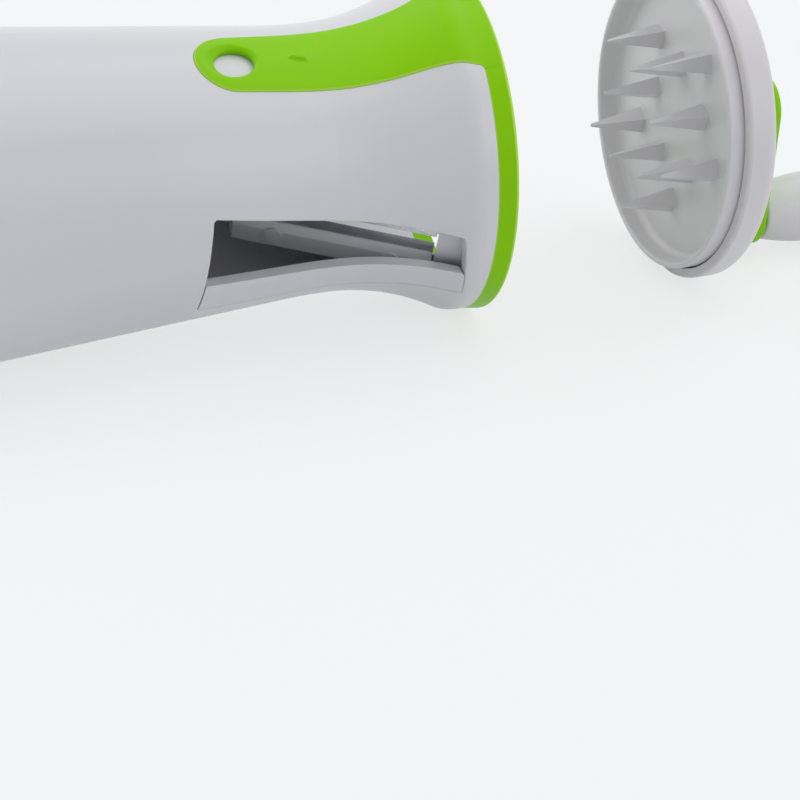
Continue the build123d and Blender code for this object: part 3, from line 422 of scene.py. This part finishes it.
# The body's side view: a shoulder, the flare's arc, the taper's arc, then a straight taper.
SHOULDER_START = WAIST_DEPTH - math.sqrt(
    (FLARE_SWEEP + SHOULDER_ROUND) ** 2
    - (WAIST_RADIUS + FLARE_SWEEP - BODY_RADIUS + SHOULDER_ROUND) ** 2
)
FLARE_SHARE = FLARE_SWEEP / (FLARE_SWEEP + SHOULDER_ROUND)
FLARE_START = WAIST_DEPTH - (WAIST_DEPTH - SHOULDER_START) * FLARE_SHARE
TAPER_RUN = BODY_LENGTH - REAR_BAND - WAIST_DEPTH
TAPER_RISE = WAIST_RADIUS + TAPER_SWEEP - BODY_RADIUS
TAPER_TURN = math.atan2(TAPER_RUN, TAPER_RISE) - math.acos(
    TAPER_SWEEP / math.hypot(TAPER_RUN, TAPER_RISE)
)


def body_radius(depth):
    """Outer radius of the white body."""
    if depth < SHOULDER_START:
        return BODY_RADIUS
    if depth < FLARE_START:
        across = math.sqrt(SHOULDER_ROUND**2 - (depth - SHOULDER_START) ** 2)
        return BODY_RADIUS - SHOULDER_ROUND + across
    run = depth - WAIST_DEPTH
    if run < 0:
        return WAIST_RADIUS + FLARE_SWEEP - math.sqrt(FLARE_SWEEP**2 - run**2)
    arc_run = TAPER_SWEEP * math.sin(TAPER_TURN)
    if run < arc_run:
        return WAIST_RADIUS + TAPER_SWEEP - math.sqrt(TAPER_SWEEP**2 - run**2)
    rise = TAPER_SWEEP * (1 - math.cos(TAPER_TURN))
    return WAIST_RADIUS + rise + (run - arc_run) * math.tan(TAPER_TURN)


def band_radius(depth):
    """Outer radius of the collar's green band."""
    return RIM_RADIUS - (RIM_RADIUS - BODY_RADIUS) * depth / COLLAR_BAND


def smooth_step(value):
    value = min(max(value, 0.0), 1.0)
    return value * value * (3 - 2 * value)


def soft_least(first, second, reach):
    """The lesser of two heights, rounded over where they meet."""
    share = min(max(0.5 + (second - first) / (2 * reach), 0.0), 1.0)
    return second + (first - second) * share - reach * share * (1 - share)


def tongue_radius(depth):
    """The tongue stands a little above the body and runs out into the collar's band."""
    proud = body_radius(depth) + TONGUE_PROUD
    band = band_radius(depth) + OVERLAP
    share = smooth_step((BLEND_FROM - depth) / (BLEND_FROM - BLEND_TO))
    return proud + (band - proud) * share


def curve_point(start, end, from_way, to_way, run, share):
    """A point of the smooth curve between two points with given directions at its ends."""
    square, cube = share**2, share**3
    return (
        start * (2 * cube - 3 * square + 1) + from_way * run * (cube - 2 * square + share)
        + end * (3 * square - 2 * cube) + to_way * run * (cube - square)
    )


def tongue_half():
    """Half of the tongue's outline, from its round tip to the collar's rim."""
    points = []
    for step in range(TIP_STEPS + 1):
        angle = math.radians(90 * step / TIP_STEPS)
        depth = TONGUE_CENTRE + TONGUE_HALF_WIDTH * math.cos(angle)
        points.append((depth, TONGUE_HALF_WIDTH * math.sin(angle)))
    start = Vector((TONGUE_CENTRE, TONGUE_HALF_WIDTH))
    neck, shoulder, root = Vector(TONGUE_NECK), Vector(TONGUE_SHOULDER), Vector(TONGUE_ROOT)
    for step in range(1, SIDE_STEPS + 1):
        points.append(tuple(start.lerp(neck, step / SIDE_STEPS)))
    first, second = (shoulder - neck).length, (root - shoulder).length
    leave, arrive = Vector(NECK_HEADING).normalized(), Vector(ROOT_HEADING).normalized()
    # The direction at the shoulder that leaves no jump in the curvature there.
    pull = 3 * ((shoulder - neck) / first**2 + (root - shoulder) / second**2)
    middle = (pull - leave / first - arrive / second) / (2 / first + 2 / second)
    for curve in ((neck, shoulder, leave, middle, first), (shoulder, root, middle, arrive, second)):
        for step in range(1, CURVE_STEPS + 1):
            points.append(tuple(curve_point(*curve, step / CURVE_STEPS)))
    hollow = TONGUE_ROOT[0] - COLLAR_BAND
    for step in range(1, FILLET_STEPS + 1):
        angle = math.radians(90 * step / FILLET_STEPS)
        depth = TONGUE_ROOT[0] - hollow * math.sin(angle)
        points.append((depth, TONGUE_ROOT[1] + hollow * (1 - math.cos(angle))))
    side = TONGUE_ROOT[1] + hollow
    points += [(depth, side) for depth in ROOT_DEPTHS]
    points += [(TONGUE_START, side * (1 - step / CHORD_STEPS)) for step in range(1, CHORD_STEPS)]
    return points


def inset(loop, distance):
    """A closed loop moved inwards. It runs counterclockwise with depth right and across up."""
    moved = []
    count = len(loop)
    for index, (x, y) in enumerate(loop):
        before, after = Vector(loop[index - 1]), Vector(loop[(index + 1) % count])
        way = (after - before).normalized()
        moved.append((x - way.y * distance, y + way.x * distance))
    return moved


def distance_to(loop, x, y):
    """Distance from a point to a closed loop, and whether the loop holds it."""
    best, held = 1e9, False
    count = len(loop)
    for index in range(count):
        ax, ay = loop[index - 1]
        bx, by = loop[index]
        dx, dy = bx - ax, by - ay
        share = min(max(((x - ax) * dx + (y - ay) * dy) / (dx * dx + dy * dy + 1e-12), 0.0), 1.0)
        best = min(best, math.hypot(x - ax - share * dx, y - ay - share * dy))
        if (ay > y) != (by > y) and x < ax + (y - ay) * dx / dy:
            held = not held
    return best, held


def ring_of(radius, count):
    """A loop of points around the tongue's hole."""
    angles = [math.tau * k / count for k in range(count)]
    return [(TONGUE_CENTRE + radius * math.cos(a), radius * math.sin(a)) for a in angles]


def arrow_corners():
    """The arrow's point and the ends of its base."""
    base = ARROW_TIP - ARROW_LENGTH
    return [(ARROW_TIP, 0.0), (base, ARROW_WIDTH / 2), (base, -ARROW_WIDTH / 2)]


def tongue_height(depth, across, outline, arrow):
    """Height of the tongue's top, with its rounded edges, bevelled hole and arrow."""
    height = math.sqrt(tongue_radius(depth) ** 2 - across**2)
    edge = distance_to(outline, depth, across)[0]
    if edge < TONGUE_ROUND:
        height -= TONGUE_ROUND - math.sqrt(TONGUE_ROUND**2 - (TONGUE_ROUND - edge) ** 2)
    away = math.hypot(depth - TONGUE_CENTRE, across)
    if away < HOLE_RADIUS + 3 * HOLE_FLARE:
        top = tongue_radius(TONGUE_CENTRE)
        bevel = top - HOLE_BEVEL + (away - HOLE_RADIUS) * HOLE_BEVEL / HOLE_FLARE
        bevel -= HOLE_LIP_DROP * max(0.0, 1 - (away - HOLE_RADIUS) / HOLE_LIP_REACH) ** 2
        height = soft_least(height, bevel, HOLE_SOFTNESS)
    along = abs(depth - ARROW_TIP + ARROW_LENGTH / 2)
    if along < ARROW_LENGTH and abs(across) < ARROW_WIDTH:
        rise, held = distance_to(arrow, depth, across)
        if held:
            height += ARROW_HEIGHT * smooth_step(rise / ARROW_SLOPE)
    return height


def tongue_loops(outline, arrow):
    """Closed loops that the tongue's faces follow: its edge, the hole and the arrow."""
    fine_arrow = []
    for index in range(3):
        a, b = Vector(arrow[index - 1]), Vector(arrow[index])
        fine_arrow += [tuple(a.lerp(b, step / ARROW_STEPS)) for step in range(ARROW_STEPS)]
    edge_loops = [outline] + [inset(outline, TONGUE_ROUND * share) for share in EDGE_SHARES]
    hole_loops = [ring_of(HOLE_RADIUS + step, HOLE_SEGMENTS) for step in HOLE_LOOPS]
    return edge_loops, hole_loops, fine_arrow


def tongue_grid(fence, fine_arrow):
    """Points that fill the tongue inside a fence, away from the hole and the arrow's edge."""
    points = []
    for row in range(int(TONGUE_END / GRID_STEP)):
        for column in range(-GRID_COLUMNS, GRID_COLUMNS + 1):
            x = GRID_START + row * GRID_STEP
            y = column * GRID_STEP + (row % 2) * GRID_STEP / 2
            near, held = distance_to(fence, x, y)
            off_hole = math.hypot(x - TONGUE_CENTRE, y) > HOLE_RADIUS + HOLE_MARGIN
            if not held or near <= GRID_MARGIN or not off_hole:
                continue
            if distance_to(fine_arrow, x, y)[0] > ARROW_MARGIN:
                points.append(Vector((x, y)))
    return points


def arrow_grid(arrow):
    """Points that fill the arrow more finely."""
    points = []
    for row in range(ARROW_GRID_ROWS):
        for column in range(-ARROW_GRID_COLUMNS, ARROW_GRID_COLUMNS + 1):
            x = ARROW_TIP - ARROW_GRID - row * ARROW_GRID
            y = column * ARROW_GRID + ARROW_GRID / 2
            near, held = distance_to(arrow, x, y)
            if held and near > ARROW_GRID_MARGIN:
                points.append(Vector((x, y)))
    return points


def tongue_mesh(form):
    """The tongue as a height field over its outline, closed below."""
    half = tongue_half()
    outline = half + [(x, -y) for x, y in reversed(half[1:])]
    arrow = arrow_corners()
    edge_loops, hole_loops, fine_arrow = tongue_loops(outline, arrow)
    points, edges = [], []
    for loop in edge_loops + hole_loops + [fine_arrow]:
        first = len(points)
        points += [Vector(p) for p in loop]
        edges += [(first + k, first + (k + 1) % len(loop)) for k in range(len(loop))]
    points += tongue_grid(edge_loops[-1], fine_arrow)
    points += arrow_grid(arrow)
    spots, _, faces, _, _, _ = delaunay_2d_cdt(points, edges, [], 0, SAME_POINT)
    up = Vector((0, -math.cos(TONGUE_ELEVATION), math.sin(TONGUE_ELEVATION)))
    side = Vector((0, math.sin(TONGUE_ELEVATION), math.cos(TONGUE_ELEVATION)))

    def at(depth, across, height):
        return form.verts.new((Vector((-depth, 0, 0)) + side * across + up * height) * MM)

    mask = form.verts.layers.float[EDGE_HIGHLIGHT_MASK]
    tops, bottoms = [], []
    for x, y in spots:
        height = tongue_height(x, y, outline, arrow)
        edge = distance_to(outline, x, y)[0]
        lowest = SPIGOT_RADIUS + SPIGOT_COVER if x < SEAT_DEPTH else 0.0
        under = math.sqrt(max(tongue_radius(x) - TONGUE_THICKNESS, lowest) ** 2 - y * y)
        tops.append(at(x, y, height))
        # Painted highlight: the edge mask rises to one at the tongue's outline, over its rounded
        # edge.
        tops[-1][mask] = max(0.0, 1 - edge / TONGUE_ROUND) if x > COLLAR_BAND else 0.0
        bottoms.append(at(x, y, min(under, height - LEAST_THICKNESS)))
    borders = {}
    for a, b, c in faces:
        x, y = (spots[a] + spots[b] + spots[c]) / 3
        in_hole = math.hypot(x - TONGUE_CENTRE, y) < HOLE_RADIUS - 0.01
        if in_hole or not distance_to(outline, x, y)[1]:
            continue
        form.faces.new((tops[a], tops[c], tops[b]))
        form.faces.new((bottoms[a], bottoms[b], bottoms[c]))
        for pair in ((a, b), (b, c), (c, a)):
            borders[pair] = True
    for a, b in borders:
        if (b, a) not in borders:
            form.faces.new((tops[a], tops[b], bottoms[b], bottoms[a]))
    for vert in tops + bottoms:
        if not vert.link_faces:
            form.verts.remove(vert)


def rounded(points, rounds):
    """A closed section with its corners rounded."""
    made = []
    count = len(points)
    for index, (spot, size) in enumerate(zip(points, rounds)):
        here = Vector(spot)
        to_last = (Vector(points[index - 1]) - here).normalized()
        to_next = (Vector(points[(index + 1) % count]) - here).normalized()
        if not size:
            made.append(tuple(here))
            continue
        half_angle = to_last.angle(to_next) / 2
        reach = size / math.tan(half_angle)
        centre = here + (to_last + to_next).normalized() * size / math.sin(half_angle)
        start, end = here + to_last * reach - centre, here + to_next * reach - centre
        turn = start.angle_signed(end)
        for step in range(ROUND_STEPS + 1):
            angle = -turn * step / ROUND_STEPS
            made.append(tuple(centre + Vector((
                start.x * math.cos(angle) - start.y * math.sin(angle),
                start.x * math.sin(angle) + start.y * math.cos(angle),
            ))))
    return made


def ring_section():
    """The ring's section, as depths below the rim and radii."""
    section = rounded(
        [(0, MOUTH_RADIUS), (0, RIM_RADIUS), (COLLAR_BAND, BODY_RADIUS),
         (COLLAR_BAND, SPIGOT_RADIUS), (SPIGOT_END, SPIGOT_RADIUS), (SPIGOT_END, SPIGOT_INSIDE),
         (MOUTH_DEPTH, SPIGOT_INSIDE), (MOUTH_DEPTH, MOUTH_RADIUS)],
        [RIM_ROUND, RIM_ROUND, BAND_ROUND, 0,
         SPIGOT_ROUND, SPIGOT_ROUND, SPIGOT_ROUND, MOUTH_ROUND],
    )
    after_rim = next(
        k for k, (depth, radius) in enumerate(section) if radius > SPIGOT_RADIUS and depth > 1
    )
    section[after_rim:after_rim] = [(depth, band_radius(depth)) for depth in BAND_STATIONS]
    return section


def ring_mesh(form, rim_x, outward):
    """The collar's band, rim and spigot, turned around the axis and flattened underneath."""
    section = ring_section()
    mask = form.verts.layers.float[EDGE_HIGHLIGHT_MASK]
    rows = []
    for step in range(RING_SEGMENTS):
        angle = math.tau * step / RING_SEGMENTS
        row = []
        for depth, radius in section:
            x = rim_x - outward * depth
            height = max(radius * math.sin(angle), FLAT_HEIGHT)
            row.append(form.verts.new(Vector((x, radius * math.cos(angle), height)) * MM))
            # Painted highlight: the edge mask is one on the band at the rounded rim and at the
            # band's edge by the body.
            on_band = radius > SPIGOT_RADIUS
            at_rim = depth < 0.8 * RIM_ROUND
            at_seam = depth > COLLAR_BAND - 0.8 * BAND_ROUND
            row[-1][mask] = 1.0 if on_band and (at_rim or at_seam) else 0.0
        rows.append(row)
    for step in range(RING_SEGMENTS):
        row, after = rows[step], rows[(step + 1) % RING_SEGMENTS]
        for k in range(len(section)):
            form.faces.new((row[k - 1], row[k], after[k], after[k - 1]))


def add_collar(name, rim_x, outward, with_tongue):
    form = bmesh.new()
    form.verts.layers.float.new(EDGE_HIGHLIGHT_MASK)
    ring_mesh(form, rim_x, outward)
    if with_tongue:
        tongue_mesh(form)
    bmesh.ops.recalc_face_normals(form, faces=form.faces)
    for face in form.faces:
        face.smooth = True
    mesh = bpy.data.meshes.new(name + "_moulded")
    form.to_mesh(mesh)
    form.free()
    mesh.materials.append(LIME)
    collar = bpy.data.objects.new(name + "_moulded", mesh)
    bpy.context.scene.collection.objects.link(collar)
    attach(collar, "slicer")
    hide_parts(name)


add_collar("front_collar", 0.0, 1, True)
add_collar("rear_collar", -BODY_LENGTH, -1, False)


# ---- floor, backdrop and light ----------------------------------------------------------------
BACKGROUND = (0.975, 0.977, 0.98, 1.0)
SKY = (0.95, 0.97, 1.0, 1.0)    # what the world lights the object with
WORLD_LIGHT = 0.35
FLOOR_LEVEL = FLAT_HEIGHT * MM
FLOOR_REACH = 6.0
FLOOR_GLOW = 0.72               # share of the backdrop's colour in the floor near the object
GLOW_FADE = (0.25, 0.9)         # distances between which the floor turns into the backdrop
LIGHT_AIM = (-40 * MM, 0.0, 0.0)


def seen_rays(tree):
    """One for what the camera sees, directly or in a reflection."""
    rays = put(tree, "ShaderNodeLightPath")
    seen = maths(tree, "ADD", rays.outputs["Is Camera Ray"], rays.outputs["Is Glossy Ray"])
    return maths(tree, "ADD", seen, rays.outputs["Is Transmission Ray"], clamp=True)


def add_floor():
    mesh = bpy.data.meshes.new("floor")
    corners = [(-1, -1), (1, -1), (1, 1), (-1, 1)]
    places = [(x * FLOOR_REACH, y * FLOOR_REACH, FLOOR_LEVEL) for x, y in corners]
    mesh.from_pydata(places, [], [(0, 1, 2, 3)])
    floor = bpy.data.objects.new("floor", mesh)
    bpy.context.scene.collection.objects.link(floor)
    material, tree, shader = new_material("pale floor")
    shader.inputs["Base Color"].default_value = linear("F0F1F3")
    shader.inputs["Roughness"].default_value = 0.7
    shader.inputs["Specular IOR Level"].default_value = 0.2
    glow = put(tree, "ShaderNodeEmission")
    glow.inputs["Color"].default_value = BACKGROUND
    distance = put(tree, "ShaderNodeVectorMath", operation="LENGTH")
    feed(tree, distance.inputs[0], place(tree))
    fade = spread(tree, distance.outputs["Value"], *GLOW_FADE, FLOOR_GLOW, 1.0)
    blend = put(tree, "ShaderNodeMixShader")
    feed(tree, blend.inputs["Fac"], maths(tree, "MULTIPLY", seen_rays(tree), fade))
    tree.links.new(shader.outputs["BSDF"], blend.inputs[1])
    tree.links.new(glow.outputs["Emission"], blend.inputs[2])
    tree.links.new(blend.outputs["Shader"], tree.nodes["Material Output"].inputs["Surface"])
    mesh.materials.append(material)


def add_light(name, place_at, size, power):
    """A lamp of a size in metres that faces the object."""
    data = bpy.data.lights.new(name, "AREA")
    data.shape = "RECTANGLE"
    data.size, data.size_y = size
    data.energy = power
    lamp = bpy.data.objects.new(name, data)
    bpy.context.scene.collection.objects.link(lamp)
    lamp.location = place_at
    facing = Vector(LIGHT_AIM) - Vector(place_at)
    lamp.rotation_euler = facing.to_track_quat("-Z", "Y").to_euler()


def add_world():
    world = bpy.data.worlds.new("studio")
    bpy.context.scene.world = world
    world.use_nodes = True
    tree = world.node_tree
    background = tree.nodes["Background"]
    seen = seen_rays(tree)
    feed(tree, background.inputs["Color"], mix(tree, seen, SKY, BACKGROUND))
    feed(tree, background.inputs["Strength"], spread(tree, seen, 0.0, 1.0, WORLD_LIGHT, 1.0))


add_camera()
add_floor()
add_world()
add_light("key", (0.4, 0.05, 1.0), (1.3, 1.3), 5.3)
add_light("fill", (0.6, -0.95, 0.5), (1.0, 0.7), 2.3)
add_light("side", (-0.85, 0.6, 0.65), (1.6, 1.6), 8.0)

bpy.context.scene.view_settings.view_transform = "Standard"
